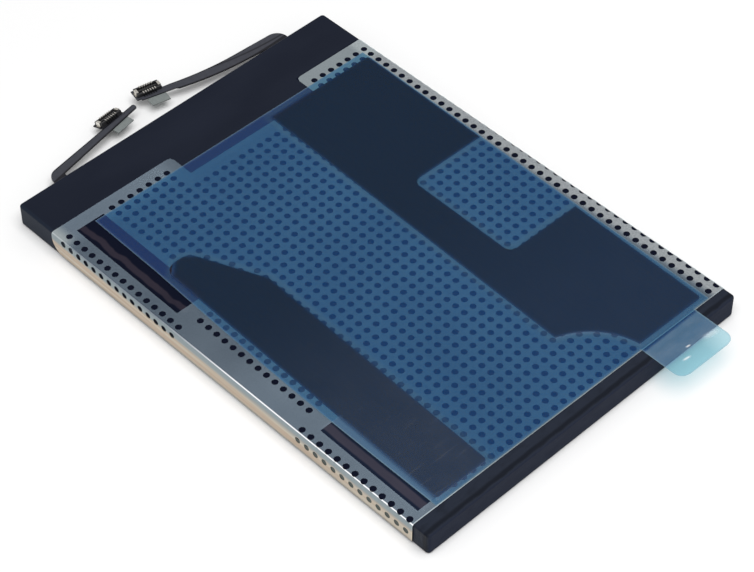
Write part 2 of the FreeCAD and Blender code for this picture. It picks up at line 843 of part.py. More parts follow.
def make_left_glue():
    """Left adhesive pad: a tall strip with a round head and a sloping shoulder."""
    body = new_body("adhesive_pad_left")
    sheet_sketch = new_sketch(body, "outline", "XY_Plane", lift=film_top_z)
    corners = [
        ("left_glue_left_bottom", "glue_bottom"),
        ("left_glue_right_bottom", "glue_bottom"),
        ("left_glue_waist_x", "left_glue_waist_y"),
        ("left_glue_slope_x", "left_glue_top"),
        ("left_glue_left_top", "left_glue_top"),
    ]
    draw_outline(sheet_sketch, corners)
    add_pad(body, sheet_sketch, "glue_thickness")
    round_corners(body, [corners[3], corners[4]], "left_glue_round")
    round_corners(body, [corners[0], corners[1]], "glue_corner")
    place(body, turn="lean")


def make_right_glue():
    """Right adhesive pad: a broad sheet with a bay in its right side and a scooped lower corner."""
    body = new_body("adhesive_pad_right")
    sheet_sketch = new_sketch(body, "outline", "XY_Plane", lift=film_top_z)
    bay_right = size_of("right_glue_right_top") - 0.25
    corners = [
        ("right_glue_left_top", "right_glue_top"),
        ("right_glue_left_bottom", "scoop_y", "scoop_radius"),
        ("scoop_x", "glue_bottom"),
        ("right_glue_right_bottom", "glue_bottom"),
        (bay_right - 0.35, "bay_bottom"),
        ("bay_left", "bay_bottom"),
        ("bay_left", "bay_top"),
        (bay_right, "bay_top"),
        ("right_glue_right_top", "right_glue_top"),
    ]
    draw_outline(sheet_sketch, corners)
    add_pad(body, sheet_sketch, "glue_thickness")
    round_corners(body, [corners[5], corners[6]], "bay_corner")
    round_corners(body, [corners[0], corners[3], corners[8]], "glue_corner")
    place(body, turn="lean")


def make_liner():
    """Release liner over the pads, with a round-cornered pull tab past the end of the battery."""
    body = new_body("release_liner")
    sheet_sketch = new_sketch(body, "outline", "XY_Plane", lift=glue_top)
    corners = [
        ("liner_left_top", "liner_top"),
        ("liner_left_bottom", "liner_bottom"),
        ("tab_left", "liner_bottom"),
        ("tab_left", "tab_end"),
        ("tab_right", "tab_end"),
        ("tab_right", "liner_bottom"),
        ("liner_right_bottom", "liner_bottom"),
        ("liner_right_top", "liner_top"),
    ]
    draw_outline(sheet_sketch, corners)
    add_pad(body, sheet_sketch, "liner_thickness")
    round_corners(body, [corners[3], corners[4]], "tab_corner")
    round_corners(body, [corners[i] for i in (0, 1, 6, 7)], "liner_corner")
    place(body, turn="lean")


make_pouch()
make_head_wrap()
make_board()
make_chips("switch_chips", 3, "switch_start_x", "switch_pitch", "switch")
make_chips("monitor_chip", 1, -size_of("monitor_length") / 2, 0, "monitor")
make_chips("board_passives", 5, "passive_start_x", "passive_pitch", "passive")
make_lead("positive_lead", "lead_x")
make_lead("negative_lead", -size_of("lead_x"))
make_left_flex()
make_right_flex()
for side in ("left", "right"):
    make_stiffener(side)
    make_housing(side)
    make_contacts(side)
    make_terminals(side)
make_side_strip()
make_film()
make_left_glue()
make_right_glue()
make_liner()

doc.recompute()
for thing in doc.Objects:
    if "Invalid" in thing.State or "Error" in thing.State:
        raise RuntimeError(f"{thing.Label} failed: {thing.State}")
for subpart in SUBPARTS:
    if subpart.Shape.isNull() or not subpart.Shape.isValid():
        raise RuntimeError(f"{subpart.Label} has no valid shape")

os.makedirs("parts", exist_ok=True)
for subpart in SUBPARTS:
    subpart.Shape.exportStep(f"parts/{subpart.Label}.step")
    box = subpart.Shape.BoundBox
    print(f"{subpart.Label}: {len(subpart.Shape.Solids)} solid(s), {subpart.Shape.Volume:.2f} mm3,"
          f" x {box.XMin:.2f} to {box.XMax:.2f}, y {box.YMin:.2f} to {box.YMax:.2f},"
          f" z {box.ZMin:.2f} to {box.ZMax:.2f}")
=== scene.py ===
import math
import bpy
import numpy as np
from mathutils import Matrix, Vector
from mathutils.geometry import delaunay_2d_cdt


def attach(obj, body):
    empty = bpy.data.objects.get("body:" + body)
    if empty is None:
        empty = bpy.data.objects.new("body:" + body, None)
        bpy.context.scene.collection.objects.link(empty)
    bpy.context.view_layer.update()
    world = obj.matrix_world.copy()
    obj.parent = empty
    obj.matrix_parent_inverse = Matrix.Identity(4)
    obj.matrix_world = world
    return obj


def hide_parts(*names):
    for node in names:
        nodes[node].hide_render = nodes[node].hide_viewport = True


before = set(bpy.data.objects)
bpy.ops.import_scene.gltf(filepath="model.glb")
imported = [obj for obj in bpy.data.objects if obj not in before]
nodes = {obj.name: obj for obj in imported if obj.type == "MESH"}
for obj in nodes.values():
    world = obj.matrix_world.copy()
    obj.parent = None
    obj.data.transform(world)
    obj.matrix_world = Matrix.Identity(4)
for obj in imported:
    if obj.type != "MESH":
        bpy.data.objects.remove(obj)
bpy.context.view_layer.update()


# Sealed pouch: an aluminium laminate with a black nylon face, pressed flat over the wound cell.
# The bare laminate shows at the pull-tab end, in the film's windows and through its holes.
# It is a soft-edged block, creased where its end was folded and heat-sealed. Sizes are in millimetres.

LEAN = math.radians(-0.7)
FILM_END = -41.35
WINDOW_LEFT, WINDOW_RIGHT = -28.9, -23.8
SHEEN_ROWS = ((10.0, 33.8), (-40.0, -20.0))
# Painted reflection: a brown sheen along the windows, and a paler sheen on the ground of the lower window.
SHEEN_FAR, SHEEN_NEAR = (0.03, 0.025, 0.037, 1), (0.046, 0.043, 0.062, 1)
SKIN_BLACK, SKIN_VIOLET = (0.0022, 0.0044, 0.013, 1), (0.0046, 0.0055, 0.0155, 1)
SKIN_NEAR_SHEEN = (0.0078, 0.0132, 0.03, 1)
END_BLACK, END_DENT = (0.0165, 0.0215, 0.035, 1), (0.007, 0.009, 0.015, 1)
END_CREASE_SHADE, CREASE = (0.004, 0.0055, 0.01, 1), -43.2
FACE_DARK, FACE_PALE = (0.015, 0.019, 0.034, 1), (0.024, 0.03, 0.049, 1)


class Value:
    """A value in a material: an output socket, with arithmetic that adds Math nodes to the tree."""

    def __init__(self, tree, socket):
        self.tree = tree
        self.socket = socket

    def node(self, kind, settings=None, sockets=None, out=0):
        """Any node: its settings first, then its input sockets by name or number."""
        new = self.tree.nodes.new(kind)
        for name, setting in (settings or {}).items():
            setattr(new, name, setting)
        for key, value in (sockets or {}).items():
            if isinstance(value, Value):
                self.tree.links.new(value.socket, new.inputs[key])
            else:
                new.inputs[key].default_value = value
        return Value(self.tree, new.outputs[out] if new.outputs else None)

    def math(self, operation, *others):
        """A Math node with this value first."""
        return self.node("ShaderNodeMath", {"operation": operation}, dict(enumerate((self, *others))))

    def __add__(self, other):
        return self.math("ADD", other)

    def __sub__(self, other):
        return self.math("SUBTRACT", other)

    def __mul__(self, other):
        return self.math("MULTIPLY", other)

    def __truediv__(self, other):
        return self.math("DIVIDE", other)

    def __rsub__(self, other):
        return self * -1.0 + other

    __radd__ = __add__
    __rmul__ = __mul__


def new_material(name):
    """An empty material, its point in millimetres, and that point's x, y and z."""
    made = bpy.data.materials.new(name)
    made.use_nodes = True
    tree = made.node_tree
    tree.nodes.clear()
    coords = Value(tree, tree.nodes.new("ShaderNodeTexCoord").outputs["Object"])
    point = coords.node("ShaderNodeVectorMath", {"operation": "SCALE"}, {0: coords, "Scale": 1000.0})
    parts = [point.node("ShaderNodeSeparateXYZ", None, {0: point}, out=i) for i in range(3)]
    return made, point, parts


def noise(point, scale, detail=3.0, stretch=(1.0, 1.0, 1.0)):
    """Smooth noise about 0.5, of a size in waves per millimetre, stretched along the axes."""
    spread = point.node("ShaderNodeVectorMath", {"operation": "MULTIPLY"}, {0: point, 1: stretch})
    return spread.node("ShaderNodeTexNoise", None, {"Vector": spread, "Scale": scale, "Detail": detail})


def ramp(value, low, high):
    """0 below low and 1 above high, smooth between."""
    return value.node(
        "ShaderNodeMapRange",
        {"interpolation_type": "SMOOTHSTEP"},
        {"Value": value, "From Min": low, "From Max": high},
    )


def within(value, low, high, soft):
    """1 between two limits, fading to 0 over a soft margin outside them."""
    return ramp(value, low - soft, low) * (1.0 - ramp(value, high, high + soft))


def near(value, centre, half, soft):
    """1 within half a width of a centre, fading to 0 over a soft margin."""
    return 1.0 - ramp((value - centre).math("ABSOLUTE"), half, half + soft)


def mix_colour(factor, first, second):
    """A colour between two, by a factor."""
    return factor.node(
        "ShaderNodeMix", {"data_type": "RGBA"}, {"Factor": factor, 6: first, 7: second}, out=2
    )


def bumped(height, distance):
    """A bumped normal from a height pattern, the distance in metres."""
    return height.node("ShaderNodeBump", None, {"Height": height, "Distance": distance, "Strength": 1.0})


def plastic(point, colour, roughness, normal=None, specular=0.5, metallic=0.0):
    """A Principled surface: colour, roughness and normal may vary, the rest is constant."""
    sockets = {
        "Base Color": colour,
        "Roughness": roughness,
        "Specular IOR Level": specular,
        "Metallic": metallic,
    }
    if normal is not None:
        sockets["Normal"] = normal
    return point.node("ShaderNodeBsdfPrincipled", None, sockets)


def blend_shaders(factor, first, second):
    """One surface fading into another, by a factor."""
    return factor.node("ShaderNodeMixShader", None, {0: factor, 1: first, 2: second})


def output(shader):
    """Ends a material with its surface."""
    shader.node("ShaderNodeOutputMaterial", None, {"Surface": shader})


def dress(node, made):
    """Puts a material on a CAD node."""
    for place in nodes[node].material_slots:
        place.material = made


def film_x(x, y):
    """How far across the askew film a point lies: its x, sheared by the film's lean."""
    return x + math.tan(LEAN) * y


def film_y(x, y):
    """How far along the askew film a point lies: its y, sheared by the film's lean."""
    return y - math.tan(LEAN) * x


def bare_skin(point, x, y):
    """The laminate under the film: near black, with a wavy painted brown sheen along each window."""
    across = (film_x(x, y) - WINDOW_LEFT) / (WINDOW_RIGHT - WINDOW_LEFT)
    meander = noise(point, 0.16, 3.0, (0.0, 1.0, 0.0)) - 0.5
    crinkle = noise(point, 0.5, 3.0, (1.0, 0.25, 1.0))
    low = 1.0 - ramp(y, -18.0, -14.0)
    place = across - (0.4 - 0.3 * low) * meander - 0.04 * low
    half = 0.03 + 0.07 * crinkle + 0.03 * low
    wavy = 1.0 - ramp((place - 0.22).math("ABSOLUTE") - half, 0.0, 0.07)
    upper_rows, lower_rows = [within(y, *rows, 0.3) for rows in SHEEN_ROWS]
    in_window = within(across, 0.0, 1.0, 0.04) * (upper_rows + lower_rows)
    ground = mix_colour(crinkle, SKIN_BLACK, SKIN_VIOLET)
    # The paler ground in the lower window is a painted sheen.
    ground = mix_colour(in_window * low, ground, SKIN_NEAR_SHEEN)
    sheen = mix_colour(low, SHEEN_FAR, SHEEN_NEAR)
    return mix_colour(wavy * in_window * (0.5 + 0.6 * crinkle), ground, sheen)


pouch, point, (x, y, _) = new_material("pouch_laminate")
fold_wave = noise(point, 0.35, 2.0, (0.35, 3.0, 1.0))
fine = noise(point, 3.0, 4.0)
dent = noise(point, 0.8, 3.0, (0.5, 1.0, 1.0))
skin_bump = bumped(fold_wave + 0.25 * fine, 0.00012)
covered = plastic(point, bare_skin(point, x, y), 0.45 + 0.12 * fine, skin_bump, specular=0.03)
# Painted shade: the crease where the end turns down is darkened.
crease_shade = near(y + 0.5 * (dent - 0.5), CREASE, 0.12, 0.45)
end_skin = mix_colour(0.75 * crease_shade, END_BLACK, END_CREASE_SHADE)
end_skin = mix_colour(0.5 * ramp(dent, 0.45, 0.75), end_skin, END_DENT)
end_top = plastic(point, end_skin, 0.4 + 0.12 * fine, skin_bump, specular=0.08)
face_skin = mix_colour(dent, FACE_DARK, FACE_PALE)
end_face = plastic(point, face_skin, 0.5 + 0.1 * fine, skin_bump, specular=0.025)
turned_down = 1.0 - ramp(y, -43.85, -43.6)
past_film = 1.0 - ramp(film_y(x, y), FILM_END - 0.1, FILM_END + 0.1)
output(blend_shaders(past_film, covered, blend_shaders(turned_down, end_top, end_face)))
dress("pouch_cell", pouch)


# Head wrap: black polyester tape folded as a cap over the end that the tails leave from.
# It hides the protection board and lies flush with the pouch, and the film's tongues reach over it.

TAPE_DARK, TAPE_PALE = (0.0075, 0.0105, 0.021, 1), (0.0105, 0.014, 0.026, 1)
TAPE_EDGE = (0.012, 0.018, 0.032, 1)

tape, point, (x, y, _) = new_material("head_tape")
soft = noise(point, 0.05, 2.0, (1.0, 2.5, 1.0))
grain = noise(point, 2.2, 4.0)
side_edge = 1.0 - ramp(x, -31.3, -30.6)
shade = mix_colour(ramp(soft, 0.3, 0.7), TAPE_DARK, TAPE_PALE)
shade = mix_colour(side_edge, shade, TAPE_EDGE)
end_tape = plastic(point, shade, 0.45 + 0.1 * grain, bumped(soft + 0.05 * grain, 0.0003), specular=0.09)
under_film = plastic(point, bare_skin(point, x, y), 0.5 + 0.1 * grain, specular=0.03)
left_tongue = ramp(x, -31.2, -31.0) * (1.0 - ramp(x, -9.2, -8.9))
right_tongue = ramp(x, 17.8, 18.1)
under_tongues = (left_tongue + right_tongue) * (1.0 - ramp(y, 35.5, 35.7))
output(blend_shaders(under_tongues, end_tape, under_film))
dress("head_wrap", tape)


# Parts under the head wrap: the protection board with its chips, an insulating pad and two leads.
# The board is etched glass laminate, the chips are moulded resin and the leads are welded metal strip.
# The tape closes over them all. Each has a colour, a roughness and a share of metal here.

hidden_looks = {
    "protection_board": ((0.02, 0.09, 0.05, 1), 0.45, 0.0),
    "insulating_pad": ((0.16, 0.15, 0.13, 1), 0.7, 0.0),
    "switch_chips": ((0.015, 0.015, 0.017, 1), 0.5, 0.0),
    "monitor_chip": ((0.018, 0.018, 0.02, 1), 0.5, 0.0),
    "board_passives": ((0.42, 0.34, 0.26, 1), 0.55, 0.0),
    "positive_lead": ((0.75, 0.75, 0.77, 1), 0.35, 1.0),
    "negative_lead": ((0.62, 0.6, 0.56, 1), 0.35, 1.0),
}
for node, (colour, rough, metal) in hidden_looks.items():
    made, point, _ = new_material(f"{node}_look")
    speck = noise(point, 4.0)
    dark = tuple(0.8 * c for c in colour[:3]) + (1,)
    output(plastic(point, mix_colour(speck, dark, colour), rough + 0.1 * speck, metallic=metal))
    dress(node, made)


# Flex tails: polyimide strips with copper conductors, die-cut to shape and bonded to the board.
# Past its elbow the left one runs straight and the right one in an arc, with a dark line along it.
# Both have painted shade along the borders of their top face and on the cut edges below it.

FLEX_TOP = 2.0
BORDER = (0.12, 0.26)
LINE_CENTRE, LINE_BEND = (26.2, 100.6, FLEX_TOP), 53.85
OUTER_CENTRE, INNER_CENTRE, TAIL_BEND = (19.06, 101.35, FLEX_TOP), (21.17, 99.02, FLEX_TOP), 53.0
OUTER_LINE, INNER_LINE = (0.1618, 51.42), (0.2056, 50.587)
COVERLAY_DARK, COVERLAY_PALE = (0.036, 0.038, 0.048, 1), (0.062, 0.065, 0.08, 1)
LINE_DARK, EDGE_SHADE = (0.012, 0.012, 0.016, 1), (0.008, 0.008, 0.011, 1)


def distance_to(point, centre):
    """Straight distance from the point to a centre."""
    return point.node("ShaderNodeVectorMath", {"operation": "DISTANCE"}, {0: point, 1: centre}, out=1)


def above_line(x, y, slope, start):
    """How far in y a point lies above a line of a slope and a start on the y axis."""
    return y - slope * x - start


def by_edge(inward):
    """1 at a tail's cut edge, fading to 0 inward across its border of painted edge shade."""
    return 1.0 - ramp(inward, *BORDER)


flex, point, (x, y, z) = new_material("flex_coverlay")
on_left, on_right = 1.0 - ramp(x, -4.0, -3.0), ramp(x, 3.0, 5.0)
# A darker line runs along the right tail, on an arc.
dark_line = near(distance_to(point, LINE_CENTRE), LINE_BEND, 0.05, 0.2) * on_right
bent_border = by_edge(distance_to(point, OUTER_CENTRE) - TAIL_BEND)
bent_border = bent_border + by_edge(TAIL_BEND - distance_to(point, INNER_CENTRE))
straight_border = by_edge(above_line(x, y, *INNER_LINE)) + by_edge(0.0 - above_line(x, y, *OUTER_LINE))
border = bent_border * on_right + straight_border * on_left
side_shade = 1.0 - ramp(z, FLEX_TOP - 0.05, FLEX_TOP - 0.005)
weave = noise(point, 1.4, 3.0)
face = mix_colour(weave, COVERLAY_DARK, COVERLAY_PALE)
face = mix_colour(0.8 * dark_line, face, LINE_DARK)
# Painted shade: the sides and underside below the top face, and a border along each edge of it.
face = mix_colour(side_shade + 0.85 * border, face, EDGE_SHADE)
output(plastic(point, face, 0.42 + 0.1 * weave, bumped(weave, 0.00004), specular=0.15))
for node in ("flex_left", "flex_right"):
    dress(node, flex)


# Stiffeners: thin plates that keep each tail's end flat behind its connector.
# They are greenish grey glass laminate, cut to size and bonded under the strips.

CLOTH_DARK, CLOTH_PALE = (0.13, 0.15, 0.15, 1), (0.24, 0.265, 0.26, 1)

stiff, point, _ = new_material("stiffener_laminate")
cloth = noise(point, 5.0, 2.0, (1.0, 0.3, 1.0))
output(plastic(point, mix_colour(cloth, CLOTH_DARK, CLOTH_PALE), 0.5 + 0.1 * cloth))
for node in ("stiffener_left", "stiffener_right"):
    dress(node, stiff)


# Connectors: board-to-board plugs, each a black moulded housing at the end of a tail.
# Plated clips are bent over the long walls and wide power clips over the end walls.
# The clips are in shade low on the wall that faces the battery.

RESIN_DARK, RESIN_PALE = (0.012, 0.012, 0.013, 1), (0.026, 0.026, 0.028, 1)
PLATING_DULL, PLATING_BRIGHT = (0.62, 0.58, 0.5, 1), (0.92, 0.9, 0.86, 1)
PLATING_SHADE = (0.05, 0.05, 0.055, 1)
LEFT_AXIS, RIGHT_AXIS = (0.087, 51.84), (-0.213, 51.88)

resin, point, _ = new_material("connector_resin")
fleck = noise(point, 8.0)
output(plastic(point, mix_colour(fleck, RESIN_DARK, RESIN_PALE), 0.4 + 0.15 * fleck))

plated, point, (x, y, z) = new_material("contact_plating")
wear = noise(point, 6.0)
on_right = ramp(x, -4.2, -3.8)
depth = above_line(x, y, *LEFT_AXIS) * (1.0 - on_right) + above_line(x, y, *RIGHT_AXIS) * on_right
near_wall = (1.0 - ramp(depth, -0.72, -0.6)) * (1.0 - ramp(z, 2.5, 2.64))
plating = mix_colour(wear, PLATING_DULL, PLATING_BRIGHT)
plating = mix_colour(near_wall, plating, PLATING_SHADE)
output(plastic(point, plating, 0.22 + 0.2 * wear, metallic=1.0))
for side in ("left", "right"):
    dress(f"connector_{side}", resin)
    dress(f"signal_contacts_{side}", plated)
    dress(f"power_contacts_{side}", plated)


# Backing strip: greenish grey paper tape along the left side face, stuck to the pouch.
# The film's wing is folded down over it, and the wing's haze makes the side look tan.

PAPER_DARK, PAPER_PALE = (0.075, 0.09, 0.085, 1), (0.12, 0.135, 0.125, 1)

paper, point, _ = new_material("backing_paper")
fibre = noise(point, 1.2, 4.0, (1.0, 0.2, 1.0))
output(plastic(point, mix_colour(fibre, PAPER_DARK, PAPER_PALE), 0.75 + 0.1 * fibre, specular=0.3))
dress("side_strip", paper)


# Wrap film: clear polyester, a little hazy, wrapped over the pouch to carry the glue.
# It is die-cut flat with punched rows and two windows, then folded down over both long edges.
# It was laid on a little askew, so all but its hems lean by less than a degree.

LEFT_FLAT, RIGHT_FLAT = -31.0, 31.55
LEFT_FOLD, RIGHT_FOLD = 0.53, 0.45
FILM_TOP, HEM = 4.05, 0.3
FILM_HEAD, WING_CORNER = 35.7, 2.7
NOTCH_LEFT, NOTCH_RIGHT, NOTCH_FLOOR, NOTCH_CORNER = -8.55, 17.5, 30.9, 0.8
UPPER_WINDOW = (-28.95, 10.07, -23.8, 33.3)
LOWER_WINDOW = (-28.8, -40.1, -24.2, -20.6)
PITCH, PUNCH, PUNCH_SIDES, PUNCH_CLEAR = 1.8, 0.525, 14, 0.08
GRID_START = (-2.25, -40.2)
TONGUE_ROWS, TONGUE_SHIFT = 33.0, 0.2
FOLD_COLUMN, UPPER_TOP, UPPER_COUNT, LOWER_TOP, LOWER_COUNT = -30.55, 33.05, 15, -18.75, 13
WING_UPPER, WING_LOWER = (33.3, 8.6), (-18.2, -39.7)
WING_ROW, WING_RISE, WING_START = 1.74, 0.0227, -40.0
EDGE_STEP, FOLD_STEP, FLAT_STEP = 0.12, 0.6, 1.5
SPARE_SIDE, SPARE_LOW, SPARE_HIGH = 30.0, -41.0, 35.5
HAZE_THIN, HAZE_THICK = (0.25, 0.34, 0.44, 1), (0.36, 0.46, 0.56, 1)
HAZE_RIGHT, CORNER_HIGHLIGHT = (0.68, 0.73, 0.76, 1), (0.6, 0.68, 0.7, 1)
EDGE_HIGHLIGHT, FOLD_LIGHT = (0.7, 0.8, 0.86, 1), (0.97, 0.98, 1.0, 1)
TAN_DEEP, TAN_PALE, FOOT_EDGE_SHADE = (0.7, 0.53, 0.38, 1), (0.8, 0.71, 0.57, 1), (0.42, 0.4, 0.36, 1)
WING_GREY, FILM_TINT = (0.36, 0.44, 0.47, 1), (0.9, 0.94, 0.95, 1)


def lean(xy):
    """Turns points of the askew grid about the origin into the battery's own axes."""
    xy = np.asarray(xy, float)
    c, s = math.cos(LEAN), math.sin(LEAN)
    return np.stack([xy[..., 0] * c - xy[..., 1] * s, xy[..., 0] * s + xy[..., 1] * c], axis=-1)


def wrap(sy):
    """Folds flat film points (s, y): past a flat edge s runs round a quarter circle, then down."""
    s, along = sy[:, 0], sy[:, 1]
    flat = np.clip(s, LEFT_FLAT, RIGHT_FLAT)
    fold = np.where(s < 0, LEFT_FOLD, RIGHT_FOLD)
    past = np.abs(s - flat)
    turn = np.minimum(past / fold, np.pi / 2)
    drop = np.maximum(past - fold * np.pi / 2, 0.0)
    height = FILM_TOP - fold * (1 - np.cos(turn)) - drop
    return np.stack([flat + np.sign(s) * fold * np.sin(turn), along, height], axis=1)


def flat_s(side_z):
    """How far out on the flat film a height on the left wing lies: the fold's arc, then straight down."""
    return LEFT_FLAT - LEFT_FOLD * np.pi / 2 - (FILM_TOP - LEFT_FOLD) + side_z


def arc(centre, radius, start, end, count):
    """Points on a circular arc between two angles in degrees."""
    angle = np.radians(np.linspace(start, end, count))
    return np.asarray(centre) + radius * np.stack([np.cos(angle), np.sin(angle)], axis=1)


def film_holes():
    """Centres of the punched holes on the flat film: the grid, the column by the left fold, the wing.

    Each mask picks holes of the grid by their column i and their row k.
    """
    i, k = np.meshgrid(np.arange(-14, 20), np.arange(42), indexing="ij")
    grid = np.stack([GRID_START[0] + PITCH * i, GRID_START[1] + PITCH * k], axis=-1)
    middle = (i < -11) & (k >= 13) & (k <= 26)
    by_pad_edge = ((i == 17) & (k <= 14)) | ((i >= 10) & (i <= 17) & (k == 0))
    body = (i >= -11) & (k <= 38) & ~by_pad_edge
    tongue = (i >= -11) & (i <= -5) & (k > 38)
    right = (i >= 18) & (k > 38)
    top_row = (i >= 12) & (i <= 17) & (k >= 40)
    main = grid[middle | body | tongue | right | top_row]
    main[main[:, 1] > TONGUE_ROWS, 1] -= TONGUE_SHIFT
    upper_y = UPPER_TOP - PITCH * np.arange(UPPER_COUNT)
    lower_y = LOWER_TOP - PITCH * np.arange(LOWER_COUNT)
    fold_y = np.concatenate([upper_y, lower_y])
    column = np.stack([np.full(len(fold_y), FOLD_COLUMN), fold_y], axis=1)
    side_y = np.concatenate([np.linspace(*WING_UPPER, UPPER_COUNT), np.linspace(*WING_LOWER, LOWER_COUNT)])
    wing = np.stack([flat_s(WING_ROW + WING_RISE * (side_y - WING_START)), side_y], axis=1)
    return np.concatenate([lean(np.concatenate([main, column])), wing])


def divided(ring, step):
    """A closed ring with its edges cut into runs no longer than a step."""
    ends = np.roll(ring, -1, axis=0)
    counts = np.maximum(np.ceil(np.linalg.norm(ends - ring, axis=1) / step).astype(int), 1)
    starts = np.repeat(np.arange(len(ring)), counts)
    share = (np.arange(counts.sum()) - np.repeat(np.cumsum(counts) - counts, counts)) / counts[starts]
    return ring[starts] + (ends - ring)[starts] * share[:, None]


def film_outline():
    """The film's cut edge: hem, wing end with a round corner, tongues by the notch, straight lower end."""
    left, right = flat_s(HEM), RIGHT_FLAT + RIGHT_FOLD * np.pi / 2 + FILM_TOP - RIGHT_FOLD - HEM
    wing_top = lean((LEFT_FLAT + 1.0, FILM_HEAD))[1]
    wing_end = arc((left + WING_CORNER, wing_top - WING_CORNER), WING_CORNER, 180, 90, 10)
    corner_y = FILM_HEAD - NOTCH_CORNER
    tongues = np.concatenate([
        arc((NOTCH_LEFT - NOTCH_CORNER, corner_y), NOTCH_CORNER, 90, 0, 3),
        [(NOTCH_LEFT, NOTCH_FLOOR), (NOTCH_RIGHT, NOTCH_FLOOR)],
        arc((NOTCH_RIGHT + NOTCH_CORNER, corner_y), NOTCH_CORNER, 180, 90, 3),
    ])
    right_hem = [(right, lean((right, FILM_HEAD))[1]), (right, lean((right, FILM_END))[1])]
    left_hem = [(left, lean((left, FILM_END))[1])]
    return divided(np.concatenate([left_hem, wing_end, lean(tongues), right_hem]), EDGE_STEP)


def film_windows():
    """The two long windows beside the left fold."""
    return [lean([(a, b), (c, b), (c, d), (a, d)]) for a, b, c, d in (UPPER_WINDOW, LOWER_WINDOW)]


def inside(points, ring):
    """Which points lie inside a ring: a ray to the right crosses its edges an odd number of times."""
    a, b = ring, np.roll(ring, -1, axis=0)
    px, py = points[:, None, 0], points[:, None, 1]
    spans = (a[:, 1] > py) != (b[:, 1] > py)
    with np.errstate(divide="ignore", invalid="ignore"):
        cross = a[:, 0] + (py - a[:, 1]) * (b[:, 0] - a[:, 0]) / (b[:, 1] - a[:, 1])
    return (spans & (px < cross)).sum(axis=1) % 2 == 1


def hole_gap(points, holes, batches=40):
    """Distance from points to the nearest hole's centre, a batch at a time to spare memory."""
    return np.concatenate([
        np.linalg.norm(some[:, None, :] - holes, axis=2).min(axis=1)
        for some in np.array_split(points, batches)
    ])


def crossed(xs, ys):
    """Every pair of an x and a y, as rows."""
    return np.stack(np.meshgrid(xs, ys, indexing="ij"), axis=-1).reshape(-1, 2)


def spare_points(outline, windows, holes):
    """Points that carry the film's folds, seven lines round each, and an even scatter over its flat."""
    turn = np.radians(np.arange(0, 91, 15))
    folds = np.concatenate([LEFT_FLAT - LEFT_FOLD * turn, RIGHT_FLAT + RIGHT_FOLD * turn])
    on_folds = crossed(folds, np.arange(SPARE_LOW, SPARE_HIGH, FOLD_STEP))
    flat_x = np.arange(-SPARE_SIDE, SPARE_SIDE + 0.1, FLAT_STEP)
    on_flat = crossed(flat_x, np.arange(SPARE_LOW, SPARE_HIGH, FLAT_STEP))
    spare = np.concatenate([on_folds, on_flat])
    spare = spare[inside(spare, outline)]
    clear = hole_gap(spare, holes) > PUNCH + PUNCH_CLEAR
    for window in windows:
        clear &= ~inside(spare, window)
    return spare[clear]


def die_cut(outline, windows, holes):
    """Triangles of a flat sheet between its outline, windows and round holes, by a Delaunay division."""
    angle = 2 * np.pi * np.arange(PUNCH_SIDES) / PUNCH_SIDES
    unit = np.stack([np.cos(angle), np.sin(angle)], axis=1)
    rings = [outline, *windows, *(holes[:, None, :] + PUNCH * unit)]
    starts = np.cumsum([0] + [len(r) for r in rings])
    edges = []
    for start, ring in zip(starts, rings):
        index = np.arange(len(ring))
        edges += np.stack([start + index, start + (index + 1) % len(ring)], axis=1).tolist()
    points = np.concatenate([*rings, spare_points(outline, windows, holes)])
    found = delaunay_2d_cdt([Vector(p) for p in points.tolist()], edges, [], 1, 1e-6)
    flat = np.array([tuple(v) for v in found[0]])
    faces = np.array(found[2])
    middle = flat[faces].mean(axis=1)
    keep = inside(middle, outline) & (hole_gap(middle, holes) > PUNCH * 0.97)
    for window in windows:
        keep &= ~inside(middle, window)
    return flat, faces[keep]


def make_piece(name, points_mm, faces):
    """A smooth mesh piece from points in millimetres, riding on the battery."""
    mesh = bpy.data.meshes.new(name)
    mesh.from_pydata((np.asarray(points_mm) / 1000).tolist(), [], [list(f) for f in faces])
    mesh.update()
    mesh.polygons.foreach_set("use_smooth", np.full(len(mesh.polygons), True))
    piece = bpy.data.objects.new(name, mesh)
    bpy.context.scene.collection.objects.link(piece)
    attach(piece, "root")
    return piece


def clear_sheet(point, tint):
    """A tinted surface that light goes straight through."""
    return point.node("ShaderNodeBsdfTransparent", None, {"Color": tint})


flat, triangles = die_cut(film_outline(), film_windows(), film_holes())
film = make_piece("wrap_film", wrap(flat), triangles)
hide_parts("perforated_film")

clear_film, point, (x, y, z) = new_material("wrap_film_look")
cloud = noise(point, 0.08, 3.0)
speckle = noise(point, 4.5, 2.0)
scuff = noise(point, 1.5, 4.0, (0.4, 1.0, 1.0))
reflected_streaks = noise(point, 0.8, 3.0, (1.0, 0.05, 2.5))
right_band = ramp(x, 28.8, 30.3)
right_edge = ramp(x, 31.62, 31.78)
right_tongue = ramp(y, 30.5, 31.5) * ramp(x, 17.0, 18.0)
left_tongue = ramp(y, 30.5, 33.0) * (1.0 - ramp(x, -12.0, -8.0))
# Painted highlight: the wing's round corner at the head end is paler, and the right tongue gets the same
# paler colour.
corner_highlight = ramp(y, 31.0, 34.0) * (1.0 - ramp(x, -31.2, -29.0))
near_left = (1.0 - ramp(y, -12.0, 0.0)) * (1.0 - ramp(x, -26.0, -22.0))
# Painted highlight along the film's cut end by the pull tab.
film_edge_highlight = 1.0 - ramp(film_y(x, y), FILM_END + 0.08, FILM_END + 0.23)
wing = 1.0 - ramp(x, -31.5, -31.36)
on_fold = (1.0 - ramp(x, -31.32, -31.26)) * ramp(z, 3.79, 3.85)
glint = on_fold * (1.0 - 0.75 * ramp(y, -6.0, 14.0))
# The streaks along the tan are painted reflections.
tan = mix_colour(ramp(reflected_streaks, 0.35, 0.65), TAN_DEEP, TAN_PALE)
